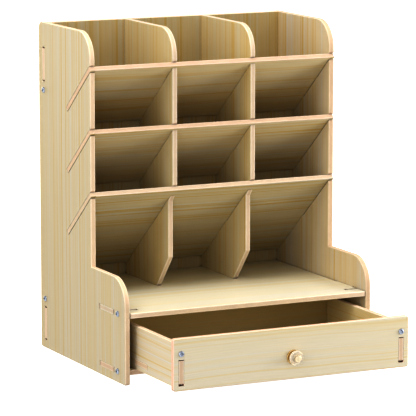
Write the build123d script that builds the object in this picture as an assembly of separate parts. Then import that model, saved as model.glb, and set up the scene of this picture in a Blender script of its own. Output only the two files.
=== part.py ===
from build123d import *
import math
import os

# Wooden desk organizer: two side panels, a back panel, three sloping shelves crossed
# by two upright dividers, an open tray and one drawer. Millimetres, +Z up, the front
# looks along -Y. The carcass is drawn with y = 0 at the lower front edge of the side
# panels, and everything is moved at the end so that the origin is the middle of the
# bottom of the whole, with the drawer drawn out.

# ---------------------------------------------------------------- driving dimensions
BOARD = 5.0              # thickness of every board
WIDTH = 254.0            # over the outer faces of the side panels
HEIGHT = 315.0
DEPTH = 196.0
ROUND = 0.8              # softened long edges of the boards

# side panels
UPPER_FRONT = 75.5       # y of the front edge above the step
STEP_TOP = 97.5          # z of the step
R_TOP = 26.0             # rounding of the top front corner
R_STEP = 26.5            # rounding of the step's front corner
R_REAR = 6.0             # rounding of the top rear corner
R_FOOT = 2.5

# back panel, between the side panels
BACK_Y = 182.0           # its front face
BACK_Z0 = 3.0
BACK_TENONS = ((9.3, 39.3), (260.2, 290.2))   # z spans of the tenons at its sides
BACK_SCREWS = (48.4, 250.4)                   # z of its screws

# sloping shelves
SLOPE = 39.0             # degrees, falling to the back
SHELF_Y = 77.0           # top front corner of each shelf
SHELF_Z = (284.1, 225.7, 167.3)
EAR_END_Y = 130.5        # the ears that fill the side panels' slots end here
SLOT_GAP = 0.5           # the slots are this much wider than the shelf, below it
EAR_RELIEF = 0.5         # the ears are this much thinner than the shelf, below
LAP = (46.0, 46.0, 66.0)  # where divider and shelf change over, along the slope

# upright dividers
DIV_IN = 38.2            # their inner faces
DIV_LOW_FRONT = 85.4     # front edge under the lowest shelf
DIV_FLARE = ((79.8, 158.6), (85.4, 151.6))
DIV_KNEE_Z = 98.0
DIV_TIP_Y = 112.0
DIV_FOOT = (112.7, 146.0)                     # tenon into the tray
DIV_REAR = ((112.0, 142.0), (228.0, 258.0))   # tenons into the back panel

# inner backs, one to each column, behind the two rows of cubbies
INNER_Y = 149.5
INNER_Z = (109.0, 228.0)
INNER_TABS = ((128.0, 146.0), (186.0, 204.0))
TAB = 2.4

# tray board and base board
TRAY_TOP = 66.7
TRAY_HALF = 121.3        # half width, a hair short of the side panels
BASE_TOP = 13.1
BASE_FRONT = 6.0
SIDE_TENON = (25.5, 55.5)                     # y span of their side tenons
REAR_TENONS = ((-86.0, -56.0), (56.0, 86.0))  # x spans of their rear tenons
TRAY_SCREW_Y = 15.5
BASE_SCREW_Y = 16.3
KERF = 3.0               # saw slot that takes a screw
KERF_LEN = 14.6
KERF_HEAD = (2.4, 5.2)   # wider spot at the slot's inner end, along and across it
TENON_PLAY = 1.5         # spare length at each end of a mortise
FIT = 0.1                # spare thickness at each side of a mortise

# drawer, drawn out by OPEN
OPEN = 86.0
FRONT_W = 238.4
FRONT_Z = (11.5, 59.1)
DSIDE_OUT = 114.0        # outer face of the drawer's sides
DSIDE_Z = (13.4, 53.7)
DSIDE_END = 63.0
DSIDE_TENON = (18.0, 39.0)
FRONT_FIT = 0.2          # spare thickness at each side of the slots in the drawer's front
DSIDE_SCREW_Z = 45.1
DBACK_Y = 52.5
DBACK_TENON = (19.5, 37.5)
DBOT_Z = (17.7, 22.7)
DBOT_TENON = (-19.5, 6.3)

# knob
KNOB_Z = 32.0
KNOB_LEN = 10.6
STEM_R = 2.85            # the stem that carries the clear disc
DISC_R = 6.8

# screws
HEAD_R = 2.7
HEAD_H = 1.7
SHANK_R = 1.45
SCREW_LEN = 16.0

HALF = WIDTH / 2
IN = HALF - BOARD        # inner faces of the side panels
DIV_OUT = DIV_IN + BOARD
BACK_END = BACK_Y + BOARD
TRAY_Z = TRAY_TOP - BOARD
BASE_Z = BASE_TOP - BOARD
INNER_END = INNER_Y + BOARD
FACE_Y = -OPEN           # outer face of the drawer's front
FRONT_IN = FACE_Y + BOARD
DSIDE_IN = DSIDE_OUT - BOARD
ORIGIN_Y = 0.5 * (DEPTH + FACE_Y - KNOB_LEN)
COS = math.cos(math.radians(SLOPE))
SIN = math.sin(math.radians(SLOPE))


# ------------------------------------------------------------------------- helpers
def block(x0, x1, y0, y1, z0, z1):
    return Pos((x0 + x1) / 2, (y0 + y1) / 2, (z0 + z1) / 2) * Box(x1 - x0, y1 - y0, z1 - z0)


def outline(points, rounds=()):
    shape = make_face(Polyline(*points, close=True))
    for (u, v), r in rounds:
        corner = min(shape.vertices(), key=lambda q: (q.X - u) ** 2 + (q.Y - v) ** 2)
        shape = fillet(corner, r)
    return shape


def upright(points, x0, x1, rounds=()):
    # a board cut to an outline in (y, z), lying between x0 and x1
    return extrude(Plane.YZ.offset(x0) * outline(points, rounds), amount=x1 - x0)


def soften(solid, pick, r=ROUND):
    # rounds the edges that pick chooses by their box
    chosen = [e for e in solid.edges() if pick(e.bounding_box())]
    return fillet(chosen, r)


def flat(box, axis):
    return abs(getattr(box.size, axis)) < 1e-4


def at_slope(shelf, z):
    # from shelf coordinates (x, distance down the slope, height over its top) to place
    return Pos(0, SHELF_Y, z) * Rot(-SLOPE, 0, 0) * shelf


def rod(radius, length, direction):
    # a cylinder from the origin along a direction
    turn = {"x": Rot(0, 90, 0), "-x": Rot(0, -90, 0), "-y": Rot(90, 0, 0), "y": Rot(-90, 0, 0)}[direction]
    return turn * Cylinder(radius, length, align=(Align.CENTER, Align.CENTER, Align.MIN))


def turned(points):
    # a solid of revolution about Z from (radius, height) points
    return revolve(Plane.XZ * make_face(Polyline(*points, close=True)), Axis.Z)


def pan_screw(length=SCREW_LEN, head_r=HEAD_R, head_h=HEAD_H, shank_r=SHANK_R):
    # pan head with a cross recess, head up, bearing face at z = 0
    body = turned([(0, head_h), (head_r * 0.42, head_h * 0.97), (head_r * 0.72, head_h * 0.82),
                   (head_r * 0.92, head_h * 0.55), (head_r, head_h * 0.25), (head_r, 0), (shank_r, 0),
                   (shank_r, -length + 3.0), (0.25, -length), (0, -length)])
    arm = Pos(0, 0, head_h) * Box(head_r * 1.15, 0.75, 1.7)
    return body - arm - Rot(0, 0, 90) * arm


def heads(places, direction, **kw):
    # one screw at each place, its head looking along the direction
    turn = {"x": Rot(0, 90, 0), "-x": Rot(0, -90, 0), "-y": Rot(90, 0, 0), "y": Rot(-90, 0, 0)}[direction]
    return [Pos(*p) * turn * pan_screw(**kw) for p in places]


NODES = {}

# --------------------------------------------------------------------- side panels
SIDE = [(0, 0), (0, STEP_TOP), (UPPER_FRONT, STEP_TOP), (UPPER_FRONT, HEIGHT), (DEPTH, HEIGHT), (DEPTH, 0)]
SIDE_ROUNDS = [((0, STEP_TOP), R_STEP), ((UPPER_FRONT, HEIGHT), R_TOP), ((DEPTH, HEIGHT), R_REAR),
               ((0, 0), R_FOOT), ((DEPTH, 0), R_FOOT)]
EAR = (EAR_END_Y - SHELF_Y) / COS
for name, sign in (("left_side_panel", -1), ("right_side_panel", 1)):
    x0, x1 = (-HALF, -IN) if sign < 0 else (IN, HALF)
    panel = soften(upright(SIDE, x0, x1, SIDE_ROUNDS), lambda b: flat(b, "X"))
    a, b = x0 - 1, x1 + 1
    for z in SHELF_Z:
        panel -= at_slope(block(a, b, -25, EAR + 0.6, -BOARD - SLOT_GAP, FIT), z)
    for z0, z1 in BACK_TENONS:
        panel -= block(a, b, BACK_Y - FIT, BACK_END + FIT, z0 - TENON_PLAY, z1 + TENON_PLAY)
    for z0, z1 in ((TRAY_Z, TRAY_TOP), (BASE_Z, BASE_TOP)):
        panel -= block(a, b, SIDE_TENON[0] - TENON_PLAY, SIDE_TENON[1] + TENON_PLAY, z0 - FIT, z1 + FIT)
    holes = [((BACK_Y + BACK_END) / 2, z) for z in BACK_SCREWS]
    holes += [(TRAY_SCREW_Y, TRAY_Z + BOARD / 2), (BASE_SCREW_Y, BASE_Z + BOARD / 2)]
    for y, z in holes:
        panel -= Pos(a, y, z) * rod(SHANK_R + 0.2, b - a, "x")
    NODES[name] = panel

# ---------------------------------------------------------------------- back panel
back = block(-IN, IN, BACK_Y, BACK_END, BACK_Z0, HEIGHT)
back = soften(back, lambda b: flat(b, "Z") and b.max.Z > HEIGHT - 1e-3 and b.size.X > 50)
for z0, z1 in BACK_TENONS:
    back += block(-HALF, HALF, BACK_Y, BACK_END, z0, z1)
for z in BACK_SCREWS:
    for s in (-1, 1):
        back -= block(min(s * IN, s * (IN - KERF_LEN)), max(s * IN, s * (IN - KERF_LEN)),
                      BACK_Y - 1, BACK_END + 1, z - KERF / 2, z + KERF / 2)
        xa, xb = sorted((s * (IN - KERF_LEN), s * (IN - KERF_LEN + KERF_HEAD[0])))
        back -= block(xa, xb, BACK_Y - 1, BACK_END + 1, z - KERF_HEAD[1] / 2, z + KERF_HEAD[1] / 2)
for z0, z1 in ((TRAY_Z, TRAY_TOP), (BASE_Z, BASE_TOP)):
    for x0, x1 in REAR_TENONS:
        back -= block(x0 - 1.2, x1 + 1.2, BACK_Y - 1, BACK_END + 1, z0 - FIT, z1 + FIT)
for s in (-1, 1):
    x0, x1 = sorted((s * DIV_IN, s * DIV_OUT))
    for z0, z1 in DIV_REAR:
        back -= block(x0 - FIT, x1 + FIT, BACK_Y - 1, BACK_END + 1, z0 - 1.2, z1 + 1.2)
NODES["back_panel"] = back

# ------------------------------------------------------------------------ dividers
DIV = [(BACK_Y, TRAY_TOP), (BACK_Y, HEIGHT), (UPPER_FRONT, HEIGHT), (UPPER_FRONT, 162.4),
       DIV_FLARE[0], DIV_FLARE[1], (DIV_LOW_FRONT, DIV_KNEE_Z), (DIV_TIP_Y, TRAY_TOP)]
DIV_ROUNDS = [((UPPER_FRONT, HEIGHT), R_TOP), ((DIV_LOW_FRONT, DIV_KNEE_Z), 2.0), (DIV_FLARE[1], 1.5)]
for name, sign in (("divider_left", -1), ("divider_right", 1)):
    x0, x1 = sorted((sign * DIV_IN, sign * DIV_OUT))
    board = upright(DIV, x0, x1, DIV_ROUNDS)
    board = soften(board, lambda b: flat(b, "X") and not (flat(b, "Y") and b.min.Y > BACK_Y - 1e-3)
                   and not (flat(b, "Z") and b.max.Z < TRAY_TOP + 1e-3))
    for z, lap in zip(SHELF_Z, LAP):
        board -= at_slope(block(x0 - 1, x1 + 1, -25, lap + 0.3, -BOARD - 0.3, FIT), z)
    for z0, z1 in INNER_TABS:
        board -= block(x0 - 1, x1 + 1, INNER_Y - FIT, INNER_END + FIT, z0 - 0.5, z1 + 0.5)
    board += block(x0, x1, DIV_FOOT[0], DIV_FOOT[1], TRAY_Z, TRAY_TOP)
    for z0, z1 in DIV_REAR:
        board += block(x0, x1, BACK_Y, BACK_END, z0, z1)
    NODES[name] = board

# --------------------------------------------------------------------- inner backs
for name, x0, x1 in (("inner_back_left", -IN, -DIV_OUT), ("inner_back_middle", -DIV_IN, DIV_IN),
                     ("inner_back_right", DIV_OUT, IN)):
    board = block(x0, x1, INNER_Y, INNER_END, *INNER_Z)
    board = soften(board, lambda b: flat(b, "Z") and b.max.Z > INNER_Z[1] - 1e-3 and b.size.X > 20, 0.6)
    for z0, z1 in INNER_TABS:
        if x0 > -IN:
            board += block(x0 - TAB, x0, INNER_Y, INNER_END, z0, z1)
        if x1 < IN:
            board += block(x1, x1 + TAB, INNER_Y, INNER_END, z0, z1)
    NODES[name] = board

# -------------------------------------------------------------------------- shelves
for name, z, lap, stop in (("shelf_upper", SHELF_Z[0], LAP[0], INNER_Y), ("shelf_middle", SHELF_Z[1], LAP[1], INNER_Y),
                           ("shelf_lower", SHELF_Z[2], LAP[2], BACK_Y)):
    length = (stop - 0.2 - SHELF_Y) / COS
    shelf = block(-HALF, HALF, 0, EAR, -BOARD, 0) + block(-IN + 0.1, IN - 0.1, 0, length, -BOARD, 0)
    shelf = soften(shelf, lambda b: flat(b, "X") and flat(b, "Y") and b.max.Y < 1e-3, 1.4)
    shelf = soften(shelf, lambda b: flat(b, "Z") and b.max.Y < 1.5)
    for s in (-1, 1):
        x0, x1 = sorted((s * DIV_IN, s * DIV_OUT))
        shelf -= block(x0 - FIT, x1 + FIT, lap - 0.3, length + 5, -BOARD - 1, 1)
        xa, xb = sorted((s * (IN + 0.05), s * (HALF + 1)))
        shelf -= block(xa, xb, -1, EAR + 1, -BOARD - 1, -BOARD + EAR_RELIEF)
    NODES[name] = at_slope(shelf, z)

# ------------------------------------------------------------------- tray and base
for name, half, y0, z0, z1, screw_y in (("tray_board", TRAY_HALF, 0.0, TRAY_Z, TRAY_TOP, TRAY_SCREW_Y),
                                        ("base_board", IN - 0.3, BASE_FRONT, BASE_Z, BASE_TOP, BASE_SCREW_Y)):
    board = block(-half, half, y0, BACK_Y, z0, z1)
    board = soften(board, lambda b: flat(b, "X") and flat(b, "Y") and b.max.Y < y0 + 1e-3, 1.0)
    board = soften(board, lambda b: flat(b, "Z") and b.max.Y < y0 + 1.1)
    board += block(-HALF, HALF, SIDE_TENON[0], SIDE_TENON[1], z0, z1)
    for x0, x1 in REAR_TENONS:
        board += block(x0, x1, BACK_Y, BACK_END, z0, z1)
    for s in (-1, 1):
        xa, xb = sorted((s * (half + 1), s * (IN - KERF_LEN)))
        board -= block(xa, xb, screw_y - KERF / 2, screw_y + KERF / 2, z0 - 1, z1 + 1)
        xa, xb = sorted((s * (IN - KERF_LEN), s * (IN - KERF_LEN + KERF_HEAD[0])))
        board -= block(xa, xb, screw_y - KERF_HEAD[1] / 2, screw_y + KERF_HEAD[1] / 2, z0 - 1, z1 + 1)
    if name == "tray_board":
        for s in (-1, 1):
            x0, x1 = sorted((s * DIV_IN, s * DIV_OUT))
            board -= block(x0 - FIT, x1 + FIT, DIV_FOOT[0] - 1.6, DIV_FOOT[1] + 1.2, z0 - 1, z1 + 1)
    NODES[name] = board

# --------------------------------------------------------------------------- drawer
front = Plane.XZ.offset(-FACE_Y) * outline([(-FRONT_W / 2, FRONT_Z[0]), (FRONT_W / 2, FRONT_Z[0]),
                                            (FRONT_W / 2, FRONT_Z[1]), (-FRONT_W / 2, FRONT_Z[1])],
                                           [((s * FRONT_W / 2, z), 2.2) for s in (-1, 1) for z in FRONT_Z])
front = extrude(front, amount=-BOARD)
front = soften(front, lambda b: flat(b, "Y"))
for s in (-1, 1):
    x0, x1 = sorted((s * DSIDE_IN, s * DSIDE_OUT))
    front -= block(x0 - FRONT_FIT, x1 + FRONT_FIT, FACE_Y - 1, FRONT_IN + 1, DSIDE_TENON[0] - 2.0, DSIDE_TENON[1] + 0.7)
    front -= Pos((x0 + x1) / 2, FRONT_IN + 1, DSIDE_SCREW_Z) * rod(SHANK_R + 0.2, BOARD + 2, "-y")
front -= Pos(0, FRONT_IN + 1, KNOB_Z) * rod(1.7, BOARD + 2, "-y")
NODES["drawer_front"] = front

for name, sign in (("drawer_left_side", -1), ("drawer_right_side", 1)):
    x0, x1 = sorted((sign * DSIDE_IN, sign * DSIDE_OUT))
    side = block(x0, x1, FRONT_IN, DSIDE_END, *DSIDE_Z)
    side = soften(side, lambda b: flat(b, "X") and flat(b, "Z") and b.max.Z > DSIDE_Z[1] - 1e-3)
    side += block(x0, x1, FACE_Y, FRONT_IN, *DSIDE_TENON)
    side -= block(x0 - 1, x1 + 1, DBOT_TENON[0] - 0.6, DBOT_TENON[1] + 0.6, DBOT_Z[0] - FIT, DBOT_Z[1] + FIT)
    side -= block(x0 - 1, x1 + 1, DBACK_Y - FIT, DBACK_Y + BOARD + FIT, DBACK_TENON[0] - 1, DBACK_TENON[1] + 1)
    side -= Pos((x0 + x1) / 2, FRONT_IN - 1, DSIDE_SCREW_Z) * rod(SHANK_R + 0.05, SCREW_LEN - BOARD + 2, "y")
    side -= Pos(x0 - 1, DBACK_Y + BOARD / 2, DSIDE_SCREW_Z) * rod(SHANK_R + 0.2, BOARD + 2, "x")
    NODES[name] = side

dback = block(-DSIDE_IN, DSIDE_IN, DBACK_Y, DBACK_Y + BOARD, *DSIDE_Z)
dback = soften(dback, lambda b: flat(b, "Z") and b.max.Z > DSIDE_Z[1] - 1e-3 and b.size.X > 50)
dback += block(-DSIDE_OUT, DSIDE_OUT, DBACK_Y, DBACK_Y + BOARD, *DBACK_TENON)
for s, way in ((-1, "x"), (1, "-x")):
    dback -= Pos(s * (DSIDE_IN + 1), DBACK_Y + BOARD / 2, DSIDE_SCREW_Z) * rod(SHANK_R + 0.05, SCREW_LEN - BOARD + 2, way)
NODES["drawer_back"] = dback

NODES["drawer_bottom"] = (block(-DSIDE_IN, DSIDE_IN, FRONT_IN, DBACK_Y, *DBOT_Z)
                          + block(-DSIDE_OUT, DSIDE_OUT, DBOT_TENON[0], DBOT_TENON[1], *DBOT_Z))

# ----------------------------------------------------------------------------- knob
knob_at = Pos(0, FACE_Y, KNOB_Z) * Rot(90, 0, 0)
# a flange with a raised rim, a waisted stem with a shoulder, the disc on the stem and a cap that holds it
base = turned([(0, 0), (6.2, 0), (6.6, 0.4), (6.6, 1.2), (6.35, 1.55), (5.9, 1.6), (5.5, 1.3), (5.1, 0.95), (3.9, 0.9),
               (3.4, 1.2), (3.0, 2.0), (2.8, 3.0), (3.0, 4.1), (3.4, 4.9), (STEM_R, 4.9), (STEM_R, 8.3), (1.5, 8.3),
               (1.5, 6.6), (0, 6.6)])
base -= Pos(0, 0, -1) * Cylinder(1.5, 5.2, align=(Align.CENTER, Align.CENTER, Align.MIN))
NODES["knob_base"] = knob_at * base
NODES["knob_disc"] = knob_at * turned([(STEM_R + 0.05, 4.9), (5.9, 4.9), (6.4, 5.05), (DISC_R - 0.1, 5.4), (DISC_R, 5.9),
                                       (DISC_R, 7.3), (DISC_R - 0.1, 7.8), (6.4, 8.15), (5.9, 8.3), (STEM_R + 0.05, 8.3)])
NODES["knob_cap"] = knob_at * turned([(0, 6.7), (1.45, 6.7), (1.45, 8.3), (3.2, 8.3), (3.2, 9.9), (3.1, 10.3), (2.8, 10.55),
                                      (2.3, KNOB_LEN), (0, KNOB_LEN)])
NODES["knob_screw"] = heads([(0, FRONT_IN, KNOB_Z)], "y", length=8.6, head_r=3.0, head_h=1.9)[0]

# --------------------------------------------------------------------------- screws
mid = (BACK_Y + BACK_END) / 2
NODES["back_panel_screws"] = Compound(heads([(HALF, mid, z) for z in BACK_SCREWS], "x")
                                      + heads([(-HALF, mid, z) for z in BACK_SCREWS], "-x"))
for name, y, z in (("tray_screws", TRAY_SCREW_Y, TRAY_Z + BOARD / 2), ("base_screws", BASE_SCREW_Y, BASE_Z + BOARD / 2)):
    NODES[name] = Compound(heads([(HALF, y, z)], "x") + heads([(-HALF, y, z)], "-x"))
NODES["drawer_front_screws"] = Compound(heads([(s * (DSIDE_IN + BOARD / 2), FACE_Y, DSIDE_SCREW_Z) for s in (-1, 1)], "-y"))
NODES["drawer_back_screws"] = Compound(heads([(DSIDE_OUT, DBACK_Y + BOARD / 2, DSIDE_SCREW_Z)], "x")
                                       + heads([(-DSIDE_OUT, DBACK_Y + BOARD / 2, DSIDE_SCREW_Z)], "-x"))

# ---------------------------------------------------------------------------- write
os.makedirs("parts", exist_ok=True)
for name, shape in NODES.items():
    export_step(Pos(0, -ORIGIN_Y, 0) * shape, os.path.join("parts", name + ".step"))
print("origin at y", ORIGIN_Y, "of the carcass;", len(NODES), "nodes")
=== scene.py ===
"""Wooden desk organizer: the finish of every board, fitting and screw, a pale studio and the camera."""
import math

import bpy
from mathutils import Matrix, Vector

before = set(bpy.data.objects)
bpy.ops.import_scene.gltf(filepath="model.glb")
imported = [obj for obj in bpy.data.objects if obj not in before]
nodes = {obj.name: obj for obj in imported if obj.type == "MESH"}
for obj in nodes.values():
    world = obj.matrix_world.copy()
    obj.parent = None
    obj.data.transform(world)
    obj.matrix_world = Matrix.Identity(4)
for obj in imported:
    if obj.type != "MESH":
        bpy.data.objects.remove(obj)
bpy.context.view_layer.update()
scene = bpy.context.scene


# ---------------------------------------------------------------- node helpers
def lin(rgb):
    """A display colour of 0-255 numbers as the linear colour a shader takes."""
    out = []
    for c in rgb:
        c = c / 255.0
        out.append(c / 12.92 if c <= 0.04045 else ((c + 0.055) / 1.055) ** 2.4)
    return (*out, 1.0)


class Tree:
    """A small builder for one material's nodes."""

    def __init__(self, name):
        self.mat = bpy.data.materials.new(name)
        self.mat.use_nodes = True
        self.t = self.mat.node_tree
        self.t.nodes.clear()

    def node(self, kind, **props):
        n = self.t.nodes.new(kind)
        for k, v in props.items():
            setattr(n, k, v)
        return n

    def put(self, socket, value):
        if isinstance(value, bpy.types.NodeSocket):
            self.t.links.new(value, socket)
        else:
            socket.default_value = value

    def math(self, op, a, b=0.0, c=0.0, clamp=False):
        n = self.node("ShaderNodeMath", operation=op, use_clamp=clamp)
        for s, v in zip(n.inputs, (a, b, c)):
            self.put(s, v)
        return n.outputs[0]

    def dot(self, a, vec):
        n = self.node("ShaderNodeVectorMath", operation="DOT_PRODUCT")
        self.put(n.inputs[0], a)
        self.put(n.inputs[1], vec)
        return n.outputs["Value"]

    def xyz(self, x, y, z):
        n = self.node("ShaderNodeCombineXYZ")
        for s, v in zip(n.inputs, (x, y, z)):
            self.put(s, v)
        return n.outputs[0]

    def noise(self, vec, detail=2.0, rough=0.5, scale=1.0, lac=2.0, dist=0.0):
        n = self.node("ShaderNodeTexNoise", noise_dimensions="3D")
        self.put(n.inputs["Vector"], vec)
        n.inputs["Scale"].default_value = scale
        n.inputs["Detail"].default_value = detail
        n.inputs["Roughness"].default_value = rough
        n.inputs["Lacunarity"].default_value = lac
        n.inputs["Distortion"].default_value = dist
        return n.outputs["Fac"]

    def step(self, v, lo, hi, out_lo=0.0, out_hi=1.0):
        """A smooth step from lo to hi."""
        n = self.node("ShaderNodeMapRange", interpolation_type="SMOOTHSTEP")
        self.put(n.inputs["Value"], v)
        for k, x in (("From Min", lo), ("From Max", hi), ("To Min", out_lo), ("To Max", out_hi)):
            n.inputs[k].default_value = x
        return n.outputs["Result"]

    def mix(self, fac, a, b, blend="MIX"):
        n = self.node("ShaderNodeMix", data_type="RGBA", blend_type=blend)
        self.put(n.inputs[0], fac)
        self.put(n.inputs[6], a)
        self.put(n.inputs[7], b)
        return n.outputs[2]

    def bump(self, height, strength, distance, normal=None):
        n = self.node("ShaderNodeBump")
        n.inputs["Strength"].default_value = strength
        n.inputs["Distance"].default_value = distance
        self.put(n.inputs["Height"], height)
        if normal is not None:
            self.put(n.inputs["Normal"], normal)
        return n.outputs[0]

    def gap_shade_mask(self, width=0.0030):
        """1 inside gaps and slots up to that width, 0 on open faces and in plain corners: the mask of the painted
        shade in gaps.
        """
        n = self.node("ShaderNodeAmbientOcclusion", samples=6)
        n.inputs["Distance"].default_value = width
        return self.step(n.outputs["AO"], 0.12, 0.50, 1.0, 0.0)

    def finish(self, **sockets):
        b = self.node("ShaderNodeBsdfPrincipled")
        for k, v in sockets.items():
            self.put(b.inputs[k.replace("_", " ")], v)
        o = self.node("ShaderNodeOutputMaterial")
        self.t.links.new(b.outputs[0], o.inputs["Surface"])
        return self.mat


def dress(name, mat):
    """The one material of a node."""
    o = nodes[name]
    o.data.materials.clear()
    o.data.materials.append(mat)


# ---------------------------------------------------------------- boards
# Film of printed grain on both faces, bare fibre core on the cut edges. The core is pinkish in the middle of the
# thickness and paler along both arrises, where the cut is sanded round and where a highlight on the rounded edge is
# painted in.
# The grain is a change of tint more than of lightness: its stripes keep the red of the ground and lose blue.
LIGHT = (224, 211, 180)   # ground of the film
WARM = (224, 208, 170)    # warmer bands in the ground
GOLD = (223, 202, 148)    # golden stripes
LINE = (219, 192, 122)    # fine sharp lines
PALE = (222, 213, 190)    # pale greyish streaks
CORE = (238, 205, 174)    # middle of a cut edge
RIM_AND_HIGHLIGHT = (249, 222, 196)     # sanded arrises, partly a painted highlight
GAP_SHADE = (58, 42, 24)       # painted shade inside gaps and saw slots

S39, C39 = math.sin(math.radians(39)), math.cos(math.radians(39))
X, Y, Z = (1, 0, 0), (0, 1, 0), (0, 0, 1)
SLOPE, FALL = (0, S39, C39), (0, C39, -S39)
# node: (thickness axis, axis across the grain, grain axis, seed, wave of the grain in mm, strength of its stripes,
# fineness of its grain, tint of its film, tint of its edges, how pale its sawn ends are). Both tints are partly
# painted light and shade: boards that sit in shade, such as the back panel, the inner backs, the lower shelf, the
# drawer back and the drawer bottom, are made darker, the drawer front and the tray are made lighter and paler, and
# the right panel's edges are made darker against a near lamp.
BOARDS = {
    "left_side_panel": (X, Y, Z, 2.9, 1.0, 1.2, 1.5, (0.888, 0.910, 1.012), (0.92, 1.03, 1.10), 1.0),
    "right_side_panel": (X, Y, Z, 7.9, 1.0, 1.3, 1.3, (0.905, 0.925, 1.065), (0.83, 0.90, 0.93), 1.0),
    "divider_left": (X, Y, Z, 13.1, 1.0, 1.0, 1.0, (0.908, 0.908, 0.905), (0.84, 0.965, 1.07), 1.0),
    "divider_right": (X, Y, Z, 19.7, 1.0, 1.0, 1.0, (0.908, 0.908, 0.905), (0.84, 0.965, 1.07), 1.0),
    "back_panel": (Y, X, Z, 25.2, 1.0, 1.3, 1.6, (0.795, 0.790, 0.770), (0.93, 1.02, 1.10), 1.0),
    "inner_back_left": (Y, X, Z, 31.6, 1.0, 1.2, 1.6, (0.830, 0.825, 0.820), (0.93, 1.02, 1.10), 1.0),
    "inner_back_middle": (Y, X, Z, 37.4, 1.0, 1.2, 1.6, (0.830, 0.825, 0.820), (0.93, 1.02, 1.10), 1.0),
    "inner_back_right": (Y, X, Z, 43.8, 1.0, 1.2, 1.6, (0.830, 0.825, 0.820), (0.93, 1.02, 1.10), 1.0),
    "shelf_upper": (SLOPE, FALL, X, 49.5, 1.6, 1.5, 1.3, (1.020, 1.035, 1.090), (0.775, 0.825, 0.895), 1.15),
    "shelf_middle": (SLOPE, FALL, X, 55.9, 1.6, 1.5, 1.3, (0.975, 0.993, 1.060), (0.79, 0.850, 0.915), 1.13),
    "shelf_lower": (SLOPE, FALL, X, 61.1, 1.6, 1.5, 1.3, (0.845, 0.885, 0.985), (0.80, 0.905, 0.990), 1.10),
    "tray_board": (Z, Y, X, 67.3, 2.4, 0.55, 0.9, (1.045, 1.145, 1.410), (0.93, 1.09, 1.24), 0.88),
    "base_board": (Z, Y, X, 73.7, 2.4, 0.8, 0.7, (1.000, 1.060, 1.220), (0.92, 1.00, 1.10), 0.92),
    "drawer_front": (Y, Z, X, 79.4, 2.6, 0.62, 1.7, (1.122, 1.185, 1.385), (1.00, 1.01, 1.10), 1.0),
    "drawer_back": (Y, Z, X, 85.8, 2.2, 0.8, 1.4, (0.790, 0.760, 0.660), (0.93, 1.02, 1.10), 1.0),
    "drawer_left_side": (X, Z, Y, 91.2, 1.4, 1.1, 2.1, (1.020, 1.055, 1.240), (0.93, 1.02, 1.10), 1.0),
    "drawer_right_side": (X, Z, Y, 97.6, 1.4, 1.1, 2.1, (1.020, 1.020, 0.985), (0.93, 1.02, 1.10), 1.0),
    "drawer_bottom": (Z, Y, X, 103.1, 2.4, 0.8, 0.8, (0.820, 0.810, 0.740), (0.93, 1.02, 1.10), 0.95),
}


def tinted(rgb, tint_and_shade):
    """A palette colour as it comes out on one board, through that board's tint, which also carries painted light and
    shade.
    """
    return (*[min(0.95, c * f) for c, f in zip(lin(rgb), tint_and_shade)], 1.0)


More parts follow.
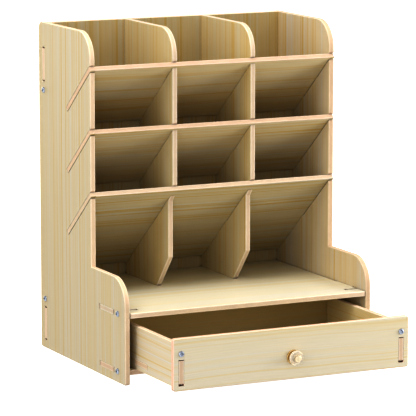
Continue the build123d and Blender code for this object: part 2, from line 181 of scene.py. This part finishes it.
def board_material(name):
    thick, across, along, seed, wave, stripes, fineness, tint_and_shade, edge_tint_and_shade, ends = BOARDS[name]
    k = Tree("film_faced_" + name)
    spread = [v.co.dot(Vector(thick)) for v in nodes[name].data.vertices]
    mid, half = 0.5 * (min(spread) + max(spread)), 0.5 * (max(spread) - min(spread))
    tc = k.node("ShaderNodeTexCoord")
    place, facing = tc.outputs["Object"], tc.outputs["Normal"]
    t, w0, g = k.dot(place, thick), k.dot(place, across), k.dot(place, along)
    tilt = k.dot(facing, thick)
    film = k.step(k.math("ABSOLUTE", tilt), 0.90, 0.985)
    side = k.math("MULTIPLY_ADD", k.math("SIGN", tilt), 0.41, seed)

    # the grain runs nearly straight, with a slow sideways drift
    drift = k.noise(k.xyz(k.math("MULTIPLY", w0, 16.0), k.math("MULTIPLY", g, 7.0), side), 1.0, 0.4)
    w = k.math("MULTIPLY_ADD", k.math("SUBTRACT", drift, 0.5), wave * 0.004, w0)

    def lay(sw, sg, shift, detail, rough):
        """Noise stretched along the grain: sw and sg features a metre across and along it."""
        return k.noise(k.xyz(k.math("MULTIPLY", w, sw * fineness), k.math("MULTIPLY", g, sg),
                             k.math("ADD", side, shift)), detail, rough)

    tone = lay(26.0, 0.9, 3.3, 2.0, 0.5)
    cluster = lay(20.0, 0.8, 9.1, 1.0, 0.5)
    bands = lay(135.0, 1.0, 13.3, 1.0, 0.5)
    gold = lay(270.0, 1.2, 17.7, 0.0, 0.5)
    fine = lay(470.0, 2.2, 23.9, 1.0, 0.5)
    pale = lay(170.0, 1.2, 31.3, 1.0, 0.5)
    fibre = lay(1300.0, 24.0, 41.1, 2.0, 0.6)

    often = k.step(cluster, 0.34, 0.62, 0.55 * stripes, 1.1 * stripes)
    gold_mask = k.math("MULTIPLY", k.step(gold, 0.60, 0.70), often)
    fine_mask = k.math("MULTIPLY", k.step(fine, 0.55, 0.72), often)
    pale_mask = k.math("MULTIPLY", k.step(pale, 0.54, 0.68), stripes)

    face = k.mix(k.step(tone, 0.36, 0.64), tinted(LIGHT, tint_and_shade), tinted(WARM, tint_and_shade))
    face = k.mix(k.math("MULTIPLY", k.step(bands, 0.44, 0.64), 0.26 * stripes), face, tinted(GOLD, tint_and_shade))
    face = k.mix(k.math("MULTIPLY", pale_mask, 0.70, clamp=True), face, tinted(PALE, tint_and_shade))
    face = k.mix(k.math("MULTIPLY", gold_mask, 0.62, clamp=True), face, tinted(LINE, tint_and_shade))
    face = k.mix(k.math("MULTIPLY", fine_mask, 0.40, clamp=True), face, tinted(LINE, tint_and_shade))
    shade = k.step(fibre, 0.2, 0.8, 0.97, 1.03)
    face = k.mix(1.0, face, k.xyz(shade, shade, shade), "MULTIPLY")

    # cut edges: paler towards both faces, partly as a painted highlight on the rounded arrises, with short fibres
    # and slow blotches along the cut
    off = k.math("ABSOLUTE", k.math("DIVIDE", k.math("SUBTRACT", t, mid), half))
    blotch = k.noise(place, 3.0, 0.6, scale=95.0)
    fuzz = k.noise(place, 3.0, 0.65, scale=1400.0)
    rim_and_highlight = k.step(k.math("MULTIPLY_ADD", k.math("SUBTRACT", blotch, 0.5), 0.22, off), 0.42, 0.74)
    edge = k.mix(rim_and_highlight, tinted(CORE, edge_tint_and_shade), tinted(RIM_AND_HIGHLIGHT, edge_tint_and_shade))
    if ends != 1.0:
        dull = [f * ends for f in edge_tint_and_shade[:2]] + [edge_tint_and_shade[2] * ends * 0.96]
        sawn = k.step(k.math("ABSOLUTE", k.dot(facing, along)), 0.70, 0.90)
        edge = k.mix(sawn, edge, k.mix(rim_and_highlight, tinted(CORE, dull), tinted(RIM_AND_HIGHLIGHT, dull)))
    edge_shade = k.math("MULTIPLY", k.step(blotch, 0.25, 0.75, 0.97, 1.02), k.step(fuzz, 0.25, 0.75, 0.96, 1.04))
    edge = k.mix(1.0, edge, k.xyz(edge_shade, edge_shade, edge_shade), "MULTIPLY")
    colour = k.mix(film, edge, face)

    # painted shade: the gaps of the joints and the saw slots at the screws are darkened inside, where shade falls
    slots = k.gap_shade_mask(0.0065) if name in ("tray_board", "base_board", "back_panel") else k.gap_shade_mask()
    gap_shade_strength = 0.40 if "side_panel" in name or "shelf" in name else 0.72
    colour = k.mix(k.math("MULTIPLY", slots, gap_shade_strength), colour, lin(GAP_SHADE))

    film_rough = k.math("SUBTRACT", k.step(fibre, 0.2, 0.8, 0.44, 0.54), k.math("MULTIPLY", gold_mask, 0.05))
    edge_rough = k.step(fuzz, 0.2, 0.8, 0.62, 0.82)
    rough = k.node("ShaderNodeMix", data_type="FLOAT")
    k.put(rough.inputs[0], film)
    k.put(rough.inputs[2], edge_rough)
    k.put(rough.inputs[3], film_rough)
    pores = k.math("MULTIPLY", k.math("ADD", fibre, k.math("MULTIPLY", gold_mask, -0.6)), film)
    normal = k.bump(pores, 0.16, 0.00025)
    rubbed = k.math("MULTIPLY", fuzz, k.math("SUBTRACT", 1.0, film))
    normal = k.bump(rubbed, 0.22, 0.0003, normal)
    return k.finish(Base_Color=colour, Roughness=rough.outputs[0], Normal=normal, Specular_IOR_Level=0.3)


for name in BOARDS:
    dress(name, board_material(name))


# ---------------------------------------------------------------- fittings
def brass(name, bright, tarnish):
    """Polished brass with fine turning marks and a little tarnish."""
    k = Tree(name)
    place = k.node("ShaderNodeTexCoord").outputs["Object"]
    cloud = k.noise(place, 3.0, 0.6, scale=420.0)
    turn = k.noise(k.xyz(k.math("MULTIPLY", k.dot(place, X), 300.0), k.math("MULTIPLY", k.dot(place, Y), 9000.0),
                         k.math("MULTIPLY", k.dot(place, Z), 300.0)), 2.0, 0.6)
    colour = k.mix(k.step(cloud, 0.3, 0.7), lin(bright), lin(tarnish))
    return k.finish(Base_Color=colour, Metallic=1.0, Roughness=k.step(cloud, 0.25, 0.75, 0.34, 0.46),
                    Normal=k.bump(turn, 0.10, 0.0001))


def steel(name):
    """Bluish zinc-plated steel with fine scratches and a cloudy plating. It is darkened in gaps as painted shade,
    and the shanks in the saw slots are painted near black as shade and made dull.
    """
    k = Tree(name)
    place = k.node("ShaderNodeTexCoord").outputs["Object"]
    cloud = k.noise(place, 3.0, 0.6, scale=700.0)
    scratch = k.noise(place, 4.0, 0.75, scale=5200.0, dist=0.6)
    colour = k.mix(k.step(cloud, 0.3, 0.7), lin((192, 198, 210)), lin((164, 172, 188)))
    # painted shade: the steel is darkened in gaps and slots
    colour = k.mix(k.math("MULTIPLY", k.gap_shade_mask(), 0.92), colour, lin((34, 30, 26)))
    rough, metal = k.step(scratch, 0.25, 0.75, 0.24, 0.42), 1.0
    if name.split("plated_")[1] in ("tray_screws", "base_screws", "back_panel_screws"):
        # painted shade: the shanks inside the saw slots are painted near black; they are also rougher and not
        # metallic
        shaded_shank = k.step(k.math("ABSOLUTE", k.dot(place, X)), 0.1263, 0.1268, 1.0, 0.0)
        colour = k.mix(shaded_shank, colour, lin((30, 24, 18)))
        rough = k.math("MULTIPLY_ADD", shaded_shank, 0.5, rough)
        metal = k.math("SUBTRACT", 1.0, shaded_shank)
    return k.finish(Base_Color=colour, Metallic=metal, Roughness=rough, Normal=k.bump(scratch, 0.12, 0.00006))


def clear(name):
    """Milky clear moulded plastic."""
    k = Tree(name)
    place = k.node("ShaderNodeTexCoord").outputs["Object"]
    haze = k.noise(place, 3.0, 0.55, scale=260.0)
    flow = k.noise(place, 2.0, 0.5, scale=900.0)
    colour = k.mix(k.step(haze, 0.3, 0.7), lin((246, 242, 232)), lin((241, 235, 223)))
    return k.finish(Base_Color=colour, Roughness=k.step(haze, 0.25, 0.75, 0.30, 0.40),
                    Transmission_Weight=0.50, IOR=1.02, Normal=k.bump(flow, 0.02, 0.0001))


dress("knob_base", brass("brass_knob_base", (216, 194, 150), (196, 170, 120)))
dress("knob_cap", brass("brass_knob_cap", (230, 220, 198), (214, 202, 176)))
dress("knob_disc", clear("clear_knob_disc"))
nodes["knob_disc"].visible_shadow = False
for name in nodes:
    if name.endswith("_screws") or name.endswith("_screw"):
        dress(name, steel("plated_" + name))


# ---------------------------------------------------------------- studio
def floor_mesh(size, cells):
    step = 2.0 * size / cells
    pts = [(-size + i * step, -size + j * step, -0.0002) for j in range(cells + 1) for i in range(cells + 1)]
    faces = [(j * (cells + 1) + i, j * (cells + 1) + i + 1, (j + 1) * (cells + 1) + i + 1, (j + 1) * (cells + 1) + i)
             for j in range(cells) for i in range(cells)]
    m = bpy.data.meshes.new("studio_floor")
    m.from_pydata(pts, [], faces)
    m.update()
    return m


floor = bpy.data.objects.new("studio_floor", floor_mesh(30.0, 8))
scene.collection.objects.link(floor)
k = Tree("pale_floor")
grit = k.noise(k.node("ShaderNodeTexCoord").outputs["Object"], 3.0, 0.6, scale=40.0)
floor.data.materials.append(k.finish(
    Base_Color=k.mix(k.step(grit, 0.3, 0.7), lin((154, 154, 154)), lin((148, 148, 148))),
    Roughness=k.step(grit, 0.2, 0.8, 0.80, 0.92), Specular_IOR_Level=0.1,
    Emission_Color=(1.0, 1.0, 1.0, 1.0), Emission_Strength=1.03))
floor.visible_diffuse = False

world = bpy.data.worlds.new("studio")
scene.world = world
world.use_nodes = True
bg = world.node_tree.nodes["Background"]
bg.inputs["Color"].default_value = (1.0, 1.0, 1.0, 1.0)
bg.inputs["Strength"].default_value = 0.637
# what the camera sees past the floor is as white as the floor
white = world.node_tree.nodes.new("ShaderNodeBackground")
white.inputs["Color"].default_value = (1.0, 1.0, 1.0, 1.0)
white.inputs["Strength"].default_value = 1.1
seen = world.node_tree.nodes.new("ShaderNodeMixShader")
world.node_tree.links.new(world.node_tree.nodes.new("ShaderNodeLightPath").outputs["Is Camera Ray"], seen.inputs[0])
world.node_tree.links.new(bg.outputs[0], seen.inputs[1])
world.node_tree.links.new(white.outputs[0], seen.inputs[2])
world.node_tree.links.new(seen.outputs[0], world.node_tree.nodes["World Output"].inputs["Surface"])


def softbox(name, azimuth, elevation, reach, size, watts, aim):
    """A square soft light at that direction and distance from the point it is aimed at."""
    data = bpy.data.lights.new(name, "AREA")
    data.shape, data.size, data.energy = "SQUARE", size, watts
    o = bpy.data.objects.new(name, data)
    a, e = math.radians(azimuth), math.radians(elevation)
    towards = Vector((-math.sin(a) * math.cos(e), -math.cos(a) * math.cos(e), math.sin(e)))
    o.location = Vector(aim) + towards * reach
    o.rotation_euler = (-towards).to_track_quat("-Z", "Y").to_euler()
    o.visible_camera = False
    scene.collection.objects.link(o)
    return o


MIDDLE, DRAWER, TRAY = (0.0, -0.02, 0.13), (0.0, -0.08, 0.06), (0.0, -0.07, 0.10)
softbox("right_low", -70, 6, 0.75, 0.40, 3.36, DRAWER)
softbox("right_high", -80, 50, 1.80, 0.90, 8.6, MIDDLE)
softbox("left_low", 57, 5, 1.80, 1.60, 14.6, MIDDLE)
softbox("left_high", 75, 52, 1.80, 0.90, 11.4, MIDDLE)
softbox("top_front", 0, 88, 0.80, 0.50, 1.75, TRAY)
softbox("rear", 180, 4, 1.80, 0.90, 16.0, MIDDLE)

# ---------------------------------------------------------------- camera
cam = bpy.data.cameras.new("camera")
cam.sensor_fit = "HORIZONTAL"
cam.sensor_width = 36.0
cam.lens = 254.56
cam.clip_start, cam.clip_end = 0.05, 200.0
eye = bpy.data.objects.new("camera", cam)
eye.location = (-1.2038, -2.4294, 0.5974)
eye.rotation_euler = Vector((0.4324, 0.8867, -0.1637)).to_track_quat("-Z", "Y").to_euler()
scene.collection.objects.link(eye)
scene.camera = eye

scene.view_settings.view_transform = "Standard"
scene.view_settings.look = "None"
scene.view_settings.gamma = 0.5556
